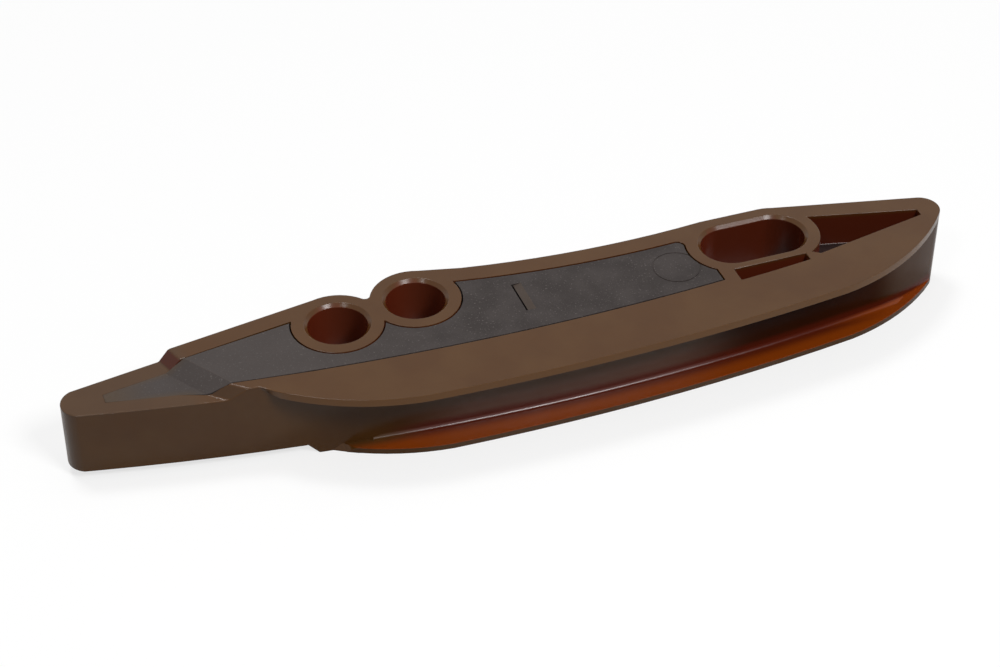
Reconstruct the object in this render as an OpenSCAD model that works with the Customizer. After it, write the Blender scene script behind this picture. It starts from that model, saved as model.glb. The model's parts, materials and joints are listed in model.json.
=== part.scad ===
// Timing chain guide: a moulded rail that a single-row engine timing chain slides along.
// The brown body carries the curved sliding face between two flanges, two pin bores and a slot.
// The dark grey core is a second shot that fills a pocket in the top of the body.
// The origin is on the axis of the first bore, level with the bottom face. X runs along the rail
// to the nose, Y points away from the chain and Z is up.

/* [Rail] */
// Height over both flanges
rail_h = 15.5; // [13.5:0.1:20]
// Reach of the tail to the left of the first bore
tail_reach = 46.9; // [42:0.1:60]
// Reach of the nose to the right of the first bore
nose_reach = 108.9; // [106:0.1:130]
// Thickness of the tail, centred on the height
tail_h = 11.7; // [9:0.1:13]
// Radius of the sliding face
face_r = 380; // [340:5:500]
// Place along the rail where the sliding face stands furthest forward
face_x = 37.3; // [33:0.1:42]
// Distance of the sliding face in front of the first bore at that place
face_y = 15.3; // [14.5:0.1:18]

/* [Back edge] */
// Slope of the back edge from the tail up to the first bore, in degrees
shoulder_angle = 9.7; // [8:0.1:11]
// Slope of the back edge from the slot down to the nose, in degrees
nose_angle = 13.4; // [12:0.1:15]
// Radius of the rounded nose
nose_r = 3.3; // [2.5:0.1:4]
// Radius of the hollow waist between the second bore and the slot
waist_r = 165; // [140:1:220]
// Place along the rail where the waist is narrowest
waist_x = 52.3; // [48:0.1:56]
// Distance of the waist behind the first bore at that place
waist_y = 5; // [4:0.1:6]
// Distance from the second bore to the start of the waist
waist_start = 10; // [9:0.1:14]
// Radius of the small fillet in the notch between the two bores
notch_r = 0.8; // [0.4:0.1:1.5]

/* [Flanges] */
// Thickness of the upper flange
upper_t = 1.4; // [0.8:0.05:2]
// Thickness of the lower flange
lower_t = 1.15; // [0.8:0.05:2]
// Reach of the upper flange in front of the sliding face
upper_reach = 7.9; // [6:0.1:10]
// Reach of the lower flange in front of the sliding face
lower_reach = 4.35; // [3:0.05:5.5]
// Radius of the long front edge of both flanges
flange_r = 416; // [400:1:500]
// Place along the rail where the flanges stand furthest forward
flange_x = 32; // [28:0.1:36]
// Radius that runs each front edge out to its end
flange_end_r = 43; // [38:0.5:50]
// Place along the rail where the upper flange starts to run out to the tail
upper_start = 10.3; // [8:0.1:14]
// Place along the rail where the lower flange starts to run out to the tail
lower_start = 15.7; // [13:0.1:20]
// Leg of the coves between the sliding face and the flanges
cove_leg = 0.8; // [0.4:0.1:1.2]

/* [Bores and slot] */
// Diameter of the two pin bores
bore_d = 10; // [8:0.1:11]
// Distance between the two bores
bore_pitch = 14.3; // [14:0.1:15]
// Slope of the line through the two bores, in degrees
bore_angle = 8; // [6:0.1:10]
// Wall around each bore and around the slot's ends
boss_wall = 2.7; // [2:0.1:3.2]
// Width of the slot
slot_w = 10; // [9:0.1:11]
// Length of the slot
slot_l = 18.7; // [16:0.1:20]
// Distance of the slot's middle along the rail from the first bore
slot_x = 74.1; // [72:0.1:76]
// Distance of the slot's middle in front of the first bore
slot_y = 2; // [1.5:0.1:2.5]
// Leg of the chamfers on the upper ends of the bores and the slot
lead_in = 0.6; // [0.3:0.05:0.9]

/* [Step to the tail] */
// Horizontal run of the core's ramp from the top face down to the tail
ramp_run = 3; // [2.6:0.1:4]
// Horizontal run of the body's own ramp, in front of the core and behind it
ramp_end_run = 1.8; // [1.4:0.1:2.4]
// Distance of the ramp's top edge to the left of the first bore, where it crosses the bore's axis line
ramp_x = 26.2; // [24:0.1:29]
// Angle by which the ramp slants from square across the rail, in degrees
ramp_angle = 34; // [30:1:40]
// Length of the slanting stretch in front of the first bore's axis line
ramp_front_l = 12.3; // [9:0.1:13]
// Further turn of the ramp's front stretch, in degrees
ramp_front_turn = 15; // [10:1:25]
// Length of the slanting stretch behind the first bore's axis line
ramp_back_l = 2; // [0.5:0.1:2.5]
// Turn of the ramp's back stretch towards square, in degrees
ramp_back_turn = 14; // [5:1:30]
// Horizontal run of the step under the tail
heel_run = 1.8; // [1:0.1:3]
// Distance of that step's foot to the left of the first bore
heel_x = 7.6; // [6:0.1:12]

/* [Pockets] */
// Wall left between the back edge and the pockets
rim_w = 3.5; // [3:0.1:4]
// Depth of the two open pockets by the slot
pocket_depth = 6.2; // [4:0.1:8]
// Length of the narrow pocket
narrow_l = 13.4; // [10:0.1:15]
// Wall left between the slot and the narrow pocket
slot_web = 1.9; // [1.5:0.1:2.3]
// Wall left between the sliding face and the narrow pocket
lining_t = 2.1; // [1.8:0.1:2.6]
// Wall left between the sliding face and the nose pocket
nose_wall = 2.8; // [2.4:0.1:3.2]
// Wall left between the nose and the end of its pocket
nose_end_wall = 4.2; // [3.5:0.1:8]
// Width of the nose pocket's blunt end
nose_end_w = 1.6; // [0.8:0.1:2]
// Width of the nose pocket's blunt corner beside the slot's boss
nose_corner_w = 1.2; // [0.6:0.1:2]
// Place of that corner around the slot's right end, in degrees below the rail's length
nose_corner = 62; // [55:1:65]

/* [Core] */
// Depth of the core's pocket below the top face
core_depth = 9; // [6:0.1:11]
// Width of the plain band between the core and the upper flange's edge
band_w = 10.8; // [10.4:0.1:11.4]
// Wall left between the sliding face and the core on the tail
tail_lining = 2.8; // [2.5:0.1:3.2]
// Wall left between the tail's end and the core
tail_end_wall = 7; // [5:0.1:10]
// How far the core reaches past the left side of the slot's boss
core_tongue = 2.7; // [1:0.1:4]
// Radius of the core's corner between the waist and the slot's boss
core_corner_r = 1.5; // [1:0.1:2]
// How far the core's top lies below the body's
core_sink = 0.05; // [0.05:0.05:0.4]
// Shrinkage gap between the core's sides and the pocket
seam = 0.24; // [0.05:0.01:0.3]
// Depth of the bar mark along its left side
bar_depth = 0.3; // [0.1:0.05:0.5]
// Place along the rail of the bar mark
bar_x = 30.4; // [26:0.1:40]
// Width of the bar mark
bar_w = 1.7; // [0.8:0.1:3]
// Width of the slit along the bar mark's left side
bar_slit = 0.35; // [0.2:0.05:0.6]
// Depth of that slit
bar_slit_depth = 1; // [0.5:0.1:2]
// Length of the bar mark
bar_l = 7.4; // [4:0.1:9]
// Radius of the pin mark
pin_r = 4.2; // [2:0.1:4.5]
// Width of the pin mark's ring
pin_line = 0.25; // [0.15:0.05:0.6]
// Depth of the pin mark's ring
pin_depth = 0.1; // [0.05:0.05:0.3]
// Distance of the pin mark in front of the first bore
pin_y = 5; // [4.5:0.1:6]
// Distance of the pin mark from the slot's left end
pin_from_slot = 11.3; // [11:0.1:16]

/* [Hidden] */
$fn = 96;

// Circles of the long arcs are drawn finer
long_fn = 720;
// Cuts run past the faces that they open by this much
over = 1;
// Reach of the planes and boxes that only trim a shape
far = 200;
// Arcs and lines that run into each other overlap by this much
arc_lap = 0.05;

boss_r = bore_d / 2 + boss_wall;
slot_boss_r = slot_w / 2 + boss_wall;
slot_c = [slot_x, -slot_y];
slot_half = (slot_l - slot_w) / 2;
slot_left = slot_c - [slot_half, 0];
slot_right = slot_c + [slot_half, 0];
bore_2 = bore_pitch * [cos(bore_angle), sin(bore_angle)];

step_h = (rail_h - tail_h) / 2;
tail_top = rail_h - step_h;
core_floor = rail_h - core_depth;

face_c = [face_x, face_r - face_y];
upper_c = [flange_x, flange_r - face_y - upper_reach];
lower_c = [flange_x, flange_r - face_y - lower_reach];
waist_c = [waist_x, waist_r + waist_y];

// Height of a circle's near side at a place along the rail, below its middle
function arc_y(c, r, x) = c.y - sqrt(r * r - pow(x - c.x, 2));
// Height of the shoulder's straight back edge at a place along the rail
function shoulder_y(x) = (boss_r + x * sin(shoulder_angle)) / cos(shoulder_angle);

// The nose is a disc that the sloping back edge touches
nose_x = nose_reach - nose_r;
nose_back = slot_right + (slot_boss_r - arc_lap) * [sin(nose_angle), cos(nose_angle)];
nose_back_y = nose_back.y - (nose_x - nose_back.x) * tan(nose_angle);
nose_c = [nose_x, nose_back_y - (nose_r - arc_lap) / cos(nose_angle)];

// Inner side of the rim along the nose's sloping back edge, at a place along the rail
function nose_rim_y(x) = nose_back.y - (x - nose_back.x) * tan(nose_angle) - rim_w / cos(nose_angle);

// Middle of the arc that runs a front edge of middle c and radius r into the nose:
// it lies where it touches both the front edge and the nose disc from inside, lap past the edge
function nose_run(c, r, lap) =
    let (to_nose = nose_c - c,
         gap = norm(to_nose),
         from_edge = r - flange_end_r + lap,
         from_nose = flange_end_r - nose_r - arc_lap,
         along = (from_edge * from_edge - from_nose * from_nose + gap * gap) / (2 * gap),
         aside = sqrt(from_edge * from_edge - along * along),
         dir = to_nose / gap)
    c + along * dir + aside * [dir.y, -dir.x];

// Middle of the sliding face's own nose arc, and the direction in which the face runs into it
face_run_c = nose_run(face_c, face_r, 0);
face_end = atan2(face_run_c.y - face_c.y, face_run_c.x - face_c.x);

// Middle of the arc that runs a front edge out to the tail from the place x
function tail_run(c, r, x) =
    let (spoke = [x, arc_y(c, r, x)] - c)
    c + spoke * (r - flange_end_r + arc_lap) / r;

// The tail's end is a disc that just fills the width between the two edges there
tail_half = (shoulder_y(-tail_reach) - arc_y(face_c, face_r, -tail_reach)) / 2;
tail_taper = (tan(shoulder_angle) + (face_x + tail_reach) / face_r) / 2;
tail_r = tail_half / (1 - tail_taper);
tail_x = tail_r - tail_reach;
tail_c = [tail_x, (shoulder_y(tail_x) + arc_y(face_c, face_r, tail_x)) / 2];

// Middle of the disc that rounds the core's corner between the waist's rim and the slot's boss
function corner_mid() =
    let (to_slot = slot_left - waist_c,
         gap = norm(to_slot),
         from_waist = waist_r + rim_w + core_corner_r,
         from_slot = slot_boss_r + core_corner_r,
         along = (from_waist * from_waist - from_slot * from_slot + gap * gap) / (2 * gap),
         aside = sqrt(from_waist * from_waist - along * along),
         dir = to_slot / gap)
    waist_c + along * dir + aside * [dir.y, -dir.x];
core_corner = corner_mid();

// The coves' arcs meet the walls at a slight angle
cove_mid = 1.25 * cove_leg;
// Sweep of the coves from the middle of the sliding face to the tail's side, in degrees
cove_sweep = 9;

// Facets of the ramp, on the core and on the body: a point of the top edge, the direction that the facet
// faces and its run
ramp_mid = [-ramp_x, 0];
ramp_along = [sin(ramp_angle), -cos(ramp_angle)];
ramp_front = ramp_mid + ramp_front_l * ramp_along;
ramp_back = ramp_mid - ramp_back_l * ramp_along;
core_facet = [ramp_mid, 180 + ramp_angle, ramp_run];
front_facet = [ramp_front, 180 + ramp_angle + ramp_front_turn, ramp_end_run];
back_facet = [ramp_back, 180 + ramp_angle - ramp_back_turn, ramp_end_run];

// How steeply a facet falls along the rail and across it
function fall(facet) = step_h / facet[2] * [cos(facet[1]), sin(facet[1])];
// The core's facet and the front one meet in a crease, square to this direction in plan
crease = fall(front_facet) - fall(core_facet);

// A disc of a long arc
module long_disc(c, r) {
    translate(c) circle(r, $fn = long_fn);
}

// The plan under the shoulder's back edge, which touches a disc of radius r about the first bore
module shoulder_2d(r) {
    rotate(shoulder_angle) translate([-far, -far]) square([far, far + r]);
}

// The plan behind a front edge whose nose arc has its middle at run_c
module back_2d(run_c) {
    toward = (nose_c - run_c) / norm(nose_c - run_c);
    waist_from = bore_2.x + waist_start;
    waist_pt = [waist_from, arc_y(waist_c, waist_r, waist_from)];
    lean = waist_pt - bore_2;
    touch = atan2(lean.y, lean.x) + acos((boss_r - arc_lap) / norm(lean));
    shoulder_2d(boss_r - arc_lap);
    circle(boss_r);
    translate(bore_2) circle(boss_r);
    notch_2d();
    polygon([bore_2, bore_2 + (boss_r - arc_lap) * [cos(touch), sin(touch)], waist_pt, [waist_from, 0]]);
    difference() {
        union() {
            translate([-over, -far]) square([slot_right.x + over, far]);
            translate([bore_2.x, -far]) square([waist_x - bore_2.x, far + bore_2.y + boss_r]);
            translate([bore_2.x, -far])
                square([slot_right.x - bore_2.x, far + slot_c.y + slot_boss_r]);
        }
        long_disc(waist_c, waist_r);
    }
    translate(slot_left) circle(slot_boss_r);
    translate(slot_right) circle(slot_boss_r);
    polygon([
        [slot_left.x, -far],
        slot_left,
        nose_back,
        nose_c + (nose_r - arc_lap) * [sin(nose_angle), cos(nose_angle)],
        nose_c,
        nose_c + far * toward
    ]);
    translate(nose_c) circle(nose_r);
}

// Fillet in the notch between the two bosses
module notch_2d() {
    side = boss_r + notch_r;
    rise = sqrt(side * side - bore_pitch * bore_pitch / 4);
    fillet_c = bore_2 / 2 + rise * [-sin(bore_angle), cos(bore_angle)];
    difference() {
        polygon([[0, 0], bore_2, fillet_c]);
        translate(fillet_c) circle(notch_r + arc_lap / 10);
    }
}

// Plan of a flange: its front edge has middle c and radius r, and runs out to the tail from start
module flange_2d(c, r, start) {
    nose_arc = nose_run(c, r, arc_lap);
    tail_arc = tail_run(c, r, start);
    nose_from = c.x + (nose_arc.x - c.x) * r / (r - flange_end_r);
    intersection() {
        back_2d(nose_arc);
        long_disc(c, r);
        union() {
            translate([start, -far]) square([nose_from - start, 2 * far]);
            translate(tail_arc) circle(flange_end_r, $fn = long_fn);
            translate(nose_arc) circle(flange_end_r, $fn = long_fn);
        }
    }
}

// Plan of the solid wall behind the sliding face, with the tail
module wall_2d() {
    intersection() {
        back_2d(face_run_c);
        union() {
            intersection() {
                long_disc(face_c, face_r);
                translate(face_c) rotate(face_end - 90) square(2 * face_r);
                union() {
                    translate(tail_c) circle(tail_r);
                    translate([tail_x, -far]) square([far, 2 * far]);
                }
            }
            intersection() {
                long_disc(face_run_c, flange_end_r);
                translate(face_run_c) rotate(face_end) square(far);
            }
        }
    }
}

// Cove along the sliding face, in the corner with a flange of thickness t whose inner side is at height z.
// It rises from the lower flange where up is 1, and hangs from the upper one where it is -1.
module face_cove(z, t, up) {
    root = z - up * t / 2;
    from = -90 - cove_sweep;
    translate(face_c) rotate(from) rotate_extrude(angle = face_end - from, $fn = long_fn)
        difference() {
            polygon([
                [face_r - cove_leg, root],
                [face_r + cove_mid, root],
                [face_r + cove_mid, z + up * cove_mid],
                [face_r - cove_leg, z + up * cove_mid]
            ]);
            translate([face_r + cove_mid, z + up * cove_mid]) circle(norm([cove_mid, cove_mid - cove_leg]));
        }
}

// Everything above the tail and some facets of the ramp, with the ramp set lower by sink
module ramp_cut(facets, sink) {
    intersection() {
        for (facet = facets)
            translate([facet[0].x, facet[0].y, rail_h - sink])
                rotate([0, atan2(step_h, facet[2]), facet[1]])
                    translate([-over, -far / 2, 0]) cube(far);
        translate([-far, -far, tail_top - sink]) cube([2 * far, 2 * far, rail_h]);
    }
}

// Everything below the tail
module heel_cut() {
    translate([0, far, 0]) rotate([90, 0, 0]) linear_extrude(2 * far)
        polygon([
            [-heel_x + over * heel_run / step_h, -over],
            [-heel_x - heel_run, step_h],
            [-far, step_h],
            [-far, -over]
        ]);
}

// A round hole of radius r right through, with a chamfer at its upper end
module hole_cut(r) {
    flare = lead_in + over;
    translate([0, 0, -over]) cylinder(h = rail_h + 2 * over, r = r);
    translate([0, 0, rail_h - lead_in]) cylinder(h = flare, r1 = r, r2 = r + flare);
}

// The slot: a round hole at each end and a straight cut with the same chamfer between them
module slot_cut() {
    half = slot_w / 2;
    flare = half + lead_in + over;
    translate(slot_left) hole_cut(half);
    translate(slot_right) hole_cut(half);
    translate([slot_left.x, slot_c.y, 0]) rotate([90, 0, 90]) linear_extrude(2 * slot_half)
        polygon([
            [-half, -over],
            [-half, rail_h - lead_in],
            [-flare, rail_h + over],
            [flare, rail_h + over],
            [half, rail_h - lead_in],
            [half, -over]
        ]);
}

// Narrow pocket between the slot and the sliding face
module narrow_pocket_2d() {
    intersection() {
        translate([slot_c.x - narrow_l / 2, -far])
            square([narrow_l, far + slot_c.y - slot_w / 2 - slot_web]);
        long_disc(face_c, face_r - lining_t);
    }
}

// Tapered pocket in the nose, with its left side around the slot's boss
module nose_pocket_2d() {
    end_x = nose_reach - nose_end_wall;
    left = slot_right + slot_boss_r * [cos(nose_corner), -sin(nose_corner)];
    front_x = left.x + nose_corner_w;
    difference() {
        polygon([
            slot_right,
            [slot_right.x, nose_rim_y(slot_right.x)],
            [end_x, nose_rim_y(end_x)],
            [end_x, nose_rim_y(end_x) - nose_end_w],
            [front_x, arc_y(face_c, face_r, front_x) + nose_wall],
            left
        ]);
        translate(slot_right) circle(slot_boss_r);
    }
}

// Plan of the core, or of its pocket, with its sides moved in by gap
module core_2d(gap) {
    tip_x = tail_end_wall - tail_reach + gap;
    end_x = slot_left.x - slot_boss_r + core_tongue - gap;
    difference() {
        intersection() {
            union() {
                core_back_2d(gap);
                translate([0, -far]) square([end_x, far]);
            }
            long_disc(upper_c, flange_r - band_w - gap);
            union() {
                long_disc(face_c, face_r - tail_lining - gap);
                translate(ramp_front) rotate(atan2(crease.y, crease.x))
                    translate([-far - gap, -far]) square([far, 2 * far]);
            }
            translate([tip_x, -far]) square([end_x - tip_x, 2 * far]);
        }
        circle(boss_r + gap);
        translate(bore_2) circle(boss_r + gap);
        translate(slot_left) circle(slot_boss_r + gap);
    }
}

// Parts of the core that lie behind the first bore's axis line
module core_back_2d(gap) {
    shoulder_2d(boss_r - rim_w - gap);
    difference() {
        union() {
            translate([bore_2.x, -over]) square([core_corner.x - bore_2.x, bore_2.y + boss_r]);
            translate(core_corner) circle(core_corner_r - gap + arc_lap);
        }
        long_disc(waist_c, waist_r + rim_w + gap);
    }
}

// The body's outside, before its holes and pockets
module rail_blank() {
    difference() {
        union() {
            linear_extrude(rail_h) wall_2d();
            flange(0, lower_t, lower_c, lower_start);
            flange(rail_h - upper_t, upper_t, upper_c, upper_start);
            intersection() {
                linear_extrude(rail_h) flange_2d(lower_c, flange_r, lower_start);
                face_cove(lower_t, lower_t, 1);
            }
            intersection() {
                linear_extrude(rail_h) flange_2d(upper_c, flange_r, upper_start);
                face_cove(rail_h - upper_t, upper_t, -1);
            }
        }
        ramp_cut([front_facet, back_facet], 0);
        heel_cut();
    }
}

// One flange of thickness t at height z
module flange(z, t, c, start) {
    translate([0, 0, z]) linear_extrude(t) flange_2d(c, flange_r, start);
}

// Brown moulded body with the sliding face, flanges, bores, slot and pockets
module guide_rail_body() {
    color([0.36, 0.29, 0.22]) difference() {
        rail_blank();
        hole_cut(bore_d / 2);
        translate(bore_2) hole_cut(bore_d / 2);
        slot_cut();
        translate([0, 0, rail_h - pocket_depth]) linear_extrude(pocket_depth + over) {
            narrow_pocket_2d();
            nose_pocket_2d();
        }
        translate([0, 0, core_floor]) linear_extrude(core_depth + over) core_2d(0);
    }
}

// Shallow marks that the mould leaves in the core's top: a bar that slants out to the right of its slit,
// and a pin's ring
module mould_marks() {
    core_top = rail_h - core_sink;
    slant = atan2(bar_depth, bar_w);
    translate([bar_x, -bar_l, core_top - bar_depth]) rotate([0, -slant, 0])
        cube([bar_w / cos(slant), bar_l, over]);
    translate([bar_x, -bar_l, core_top - bar_slit_depth]) cube([bar_slit, bar_l, bar_slit_depth + over]);
    translate([slot_left.x - pin_from_slot, -pin_y, core_top - pin_depth]) linear_extrude(pin_depth + over)
        difference() {
            circle(pin_r);
            circle(pin_r - pin_line);
        }
}

// Dark grey core in its pocket
module core_inlay() {
    color([0.28, 0.26, 0.25]) difference() {
        translate([0, 0, core_floor]) linear_extrude(core_depth - core_sink) core_2d(seam);
        ramp_cut([core_facet], core_sink);
        mould_marks();
    }
}

guide_rail_body();
core_inlay();
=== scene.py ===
"""Timing chain guide: the looks of the two-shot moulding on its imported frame, in a plain studio."""

from __future__ import annotations

import json
import logging
import math
from dataclasses import dataclass
from enum import Enum
from typing import Any

import bmesh
import bpy
from mathutils import Matrix, Vector
from mathutils.bvhtree import BVHTree

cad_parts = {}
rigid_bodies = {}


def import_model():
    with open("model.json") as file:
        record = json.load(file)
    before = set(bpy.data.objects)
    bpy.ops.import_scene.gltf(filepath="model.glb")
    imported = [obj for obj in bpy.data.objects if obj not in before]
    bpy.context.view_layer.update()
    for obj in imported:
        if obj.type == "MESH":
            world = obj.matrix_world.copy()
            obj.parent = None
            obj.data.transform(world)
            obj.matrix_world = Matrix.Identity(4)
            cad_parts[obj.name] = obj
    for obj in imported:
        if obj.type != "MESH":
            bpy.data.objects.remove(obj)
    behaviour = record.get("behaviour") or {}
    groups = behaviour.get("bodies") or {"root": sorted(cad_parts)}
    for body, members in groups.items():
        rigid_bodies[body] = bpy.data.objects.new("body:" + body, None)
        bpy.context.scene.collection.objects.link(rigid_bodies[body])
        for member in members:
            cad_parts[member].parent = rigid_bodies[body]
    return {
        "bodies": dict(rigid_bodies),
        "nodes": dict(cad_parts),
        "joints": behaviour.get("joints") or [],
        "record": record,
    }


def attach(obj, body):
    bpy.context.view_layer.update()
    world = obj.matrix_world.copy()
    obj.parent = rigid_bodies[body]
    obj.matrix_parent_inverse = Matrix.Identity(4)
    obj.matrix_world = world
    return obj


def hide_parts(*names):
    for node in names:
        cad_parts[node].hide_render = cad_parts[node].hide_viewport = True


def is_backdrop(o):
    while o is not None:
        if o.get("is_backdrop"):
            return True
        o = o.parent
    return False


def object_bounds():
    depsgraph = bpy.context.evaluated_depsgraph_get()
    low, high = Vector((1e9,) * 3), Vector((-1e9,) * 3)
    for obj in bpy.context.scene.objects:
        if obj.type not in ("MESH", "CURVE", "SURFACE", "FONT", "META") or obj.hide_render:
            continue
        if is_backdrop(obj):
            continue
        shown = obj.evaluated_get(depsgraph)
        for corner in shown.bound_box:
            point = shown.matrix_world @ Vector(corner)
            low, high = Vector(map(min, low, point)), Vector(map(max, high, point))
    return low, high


LOG = logging.getLogger("chain_guide")
MM = 0.001
BODY = "root"
WHITE = (1.0, 1.0, 1.0)
UP = Vector((0.0, 0.0, 1.0))
AROUND = tuple(Vector(way) for way in ((1, 0, 0), (0, 1, 0), (-1, 0, 0), (0, -1, 0)))

Colour = tuple[float, float, float]
Socket = bpy.types.NodeSocket
Sockets = bpy.types.bpy_prop_collection


class Ray(Enum):
    """Kinds of ray that see a white studio, by the Light Path output that tells them."""

    CAMERA = "Is Camera Ray"
    GLOSSY = "Is Glossy Ray"
    TRANSMISSION = "Is Transmission Ray"


class Sum(Enum):
    """Sums that the Math node works out, by its operation."""

    SUBTRACT = "SUBTRACT"
    MULTIPLY = "MULTIPLY"
    MAXIMUM = "MAXIMUM"


class Mark(Enum):
    """Marks on the body's faces that its finish reads, by attribute name."""

    CAVITY = "cavity"
    CHANNEL = "channel"


@dataclass(frozen=True)
class Span:
    """A smooth passage from one share to another.

    Attributes:
        start: where it starts, from a datum.
        end: where it ends, from the same datum.
        low: the share up to the start.
        high: the share from the end on.
    """

    start: float
    end: float
    low: float = 0.0
    high: float = 1.0


class Graph:
    """A node tree that is written as sums of sockets."""

    def __init__(self, tree: bpy.types.NodeTree) -> None:
        """Empty the tree.

        Args:
            tree: the node tree of a material or of the world.
        """
        self.tree = tree
        self.tree.nodes.clear()

    def node(self, kind: str, **inputs: Any) -> bpy.types.Node:
        """Add a node and fill its inputs.

        Args:
            kind: the node's type, without the word ShaderNode.
            inputs: values or sockets by input name, with _ for a space.

        Returns:
            The new node.
        """
        node = self.tree.nodes.new(f"ShaderNode{kind}")
        for name, value in inputs.items():
            self.put(node.inputs[name.replace("_", " ")], value)
        return node

    def put(self, socket: Socket, value: Any) -> None:
        """Link a socket into an input, or set the input to a value."""
        if isinstance(value, Socket):
            self.tree.links.new(value, socket)
        elif isinstance(value, tuple) and socket.type == "RGBA":
            socket.default_value = (*value, 1.0)
        else:
            socket.default_value = value

    def sum(self, how: Sum, first: Any, second: Any) -> Socket:
        """Work out one sum of two numbers."""
        node = self.tree.nodes.new("ShaderNodeMath")
        node.operation = how.value
        self.put(node.inputs[0], first)
        self.put(node.inputs[1], second)
        return node.outputs[0]

    def product(self, first: Any, *others: Any) -> Socket:
        """Multiply some numbers."""
        for other in others:
            first = self.sum(Sum.MULTIPLY, first, other)
        return first

    def ease(self, value: Socket, span: Span, datum: float = 0.0) -> Socket:
        """Follow a value through a passage.

        Args:
            value: the number that is followed.
            span: the passage.
            datum: the number from which the passage is measured.

        Returns:
            The share at that value.
        """
        node = self.tree.nodes.new("ShaderNodeMapRange")
        node.interpolation_type = "SMOOTHSTEP"
        self.put(node.inputs["Value"], value)
        node.inputs["From Min"].default_value = datum + span.start
        node.inputs["From Max"].default_value = datum + span.end
        node.inputs["To Min"].default_value = span.low
        node.inputs["To Max"].default_value = span.high
        return node.outputs["Result"]

    def colour(self, share: Any, first: Any, second: Any) -> Socket:
        """Lay a second colour over a first.

        Args:
            share: how much of the second colour shows, from 0 to 1.
            first: the colour below.
            second: the colour on top.

        Returns:
            The mixed colour.
        """
        node = self.tree.nodes.new("ShaderNodeMix")
        node.data_type = "RGBA"
        for number, value in ((0, share), (6, first), (7, second)):
            self.put(node.inputs[number], value)
        return node.outputs[2]

    def noise(self, where: Socket, size: float, detail: float = 2.0, rough: float = 0.5) -> Socket:
        """Make soft noise with patches of a size in metres."""
        node = self.node("TexNoise", Vector=where, Scale=1.0 / size, Detail=detail, Roughness=rough)
        return node.outputs["Fac"]

    def split(self, vector: Socket) -> Sockets:
        """Take a vector apart into its X, Y and Z."""
        return self.node("SeparateXYZ", Vector=vector).outputs

    def lean(self) -> Sockets:
        """Take the normal of the face itself apart into its X, Y and Z."""
        return self.split(self.node("NewGeometry").outputs["True Normal"])

    def mark(self, mark: Mark) -> Socket:
        """Read one of the body's face marks."""
        node = self.node("Attribute")
        node.attribute_name = mark.value
        return node.outputs["Fac"]


@dataclass(frozen=True)
class Rail:
    """The rail's main sizes, as in the solids.

    Attributes:
        face_x: X of the middle of the sliding face's arc.
        face_y: Y of that middle.
        face_r: the sliding face's radius.
        height: the height of the top face.
        tail_top: the height of the tail's top.
        upper_t: the thickness of the upper flange.
        lower_t: the thickness of the lower flange.
        lower_tip: X where the lower flange starts, at the tail.
        upper_tip: X where the upper flange starts, at the tail.
        nose: X where the sliding face runs into the nose.
        ramp: X where the ramp starts, behind the core.
    """

    face_x: float = 37.3 * MM
    face_y: float = 364.7 * MM
    face_r: float = 380.0 * MM
    height: float = 15.5 * MM
    tail_top: float = 13.6 * MM
    upper_t: float = 1.4 * MM
    lower_t: float = 1.15 * MM
    lower_tip: float = -7.0 * MM
    upper_tip: float = -17.5 * MM
    nose: float = 94.5 * MM
    ramp: float = -26.0 * MM

    @property
    def face(self) -> Vector:
        """The middle of the sliding face's arc, in plan."""
        return Vector((self.face_x, self.face_y))

    def reach(self, graph: Graph, where: Socket) -> Socket:
        """Measure how far a place lies in front of the sliding face, in plan."""
        spot = graph.split(where)
        flat = graph.node("CombineXYZ", X=spot["X"], Y=spot["Y"]).outputs["Vector"]
        away = graph.tree.nodes.new("ShaderNodeVectorMath")
        away.operation = "DISTANCE"
        graph.put(away.inputs[0], flat)
        away.inputs[1].default_value = (self.face_x, self.face_y, 0.0)
        return graph.sum(Sum.SUBTRACT, away.outputs["Value"], self.face_r)


@dataclass(frozen=True)
class Tail:
    """The borders of the core on the tail, where a thin film of brown runs over the grey.

    Attributes:
        lining: the wall between the sliding face and the core.
        slope: the slope of the core's back border, in radians.
        back: how far that border lies behind the first bore's axis.
        tip: X of the core's tip.
        start: X where the tail starts.
        begin: X over which the film sets in, from there.
        fade: how far the film fades out over the grey.
        end_fades: such fades over which it thickens towards the tip.
        rail: the rail's sizes.
    """

    lining: float = 2.8 * MM
    slope: float = math.radians(9.7)
    back: float = 4.2 * MM
    tip: float = -39.9 * MM
    start: float = -24.0 * MM
    begin: Span = Span(0.0, -4.0 * MM)
    fade: float = 1.5 * MM
    end_fades: float = 6.0
    rail: Rail = Rail()

    def film(self, graph: Graph, where: Socket) -> Socket:
        """Tell how thickly the brown film covers a place, from 0 over the core to 1 beside it.

        Args:
            graph: the material's nodes.
            where: the place on the piece.

        Returns:
            The film's share.
        """
        spot = graph.split(where)
        border = Span(-self.fade, self.fade / 2)
        front = graph.ease(self.rail.reach(graph, where), border, -self.lining)
        rise = graph.product(spot["Y"], math.cos(self.slope))
        run = graph.product(spot["X"], math.sin(self.slope))
        rear = graph.ease(graph.sum(Sum.SUBTRACT, rise, run), border, self.back)
        end = graph.ease(spot["X"], Span(self.end_fades * self.fade, self.fade / 4), self.tip)
        return graph.sum(Sum.MAXIMUM, graph.sum(Sum.MAXIMUM, front, rear), end)

    def here(self, graph: Graph, where: Socket) -> Socket:
        """Tell whether a place is on the tail."""
        return graph.ease(graph.split(where)["X"], self.begin, self.start)


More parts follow.
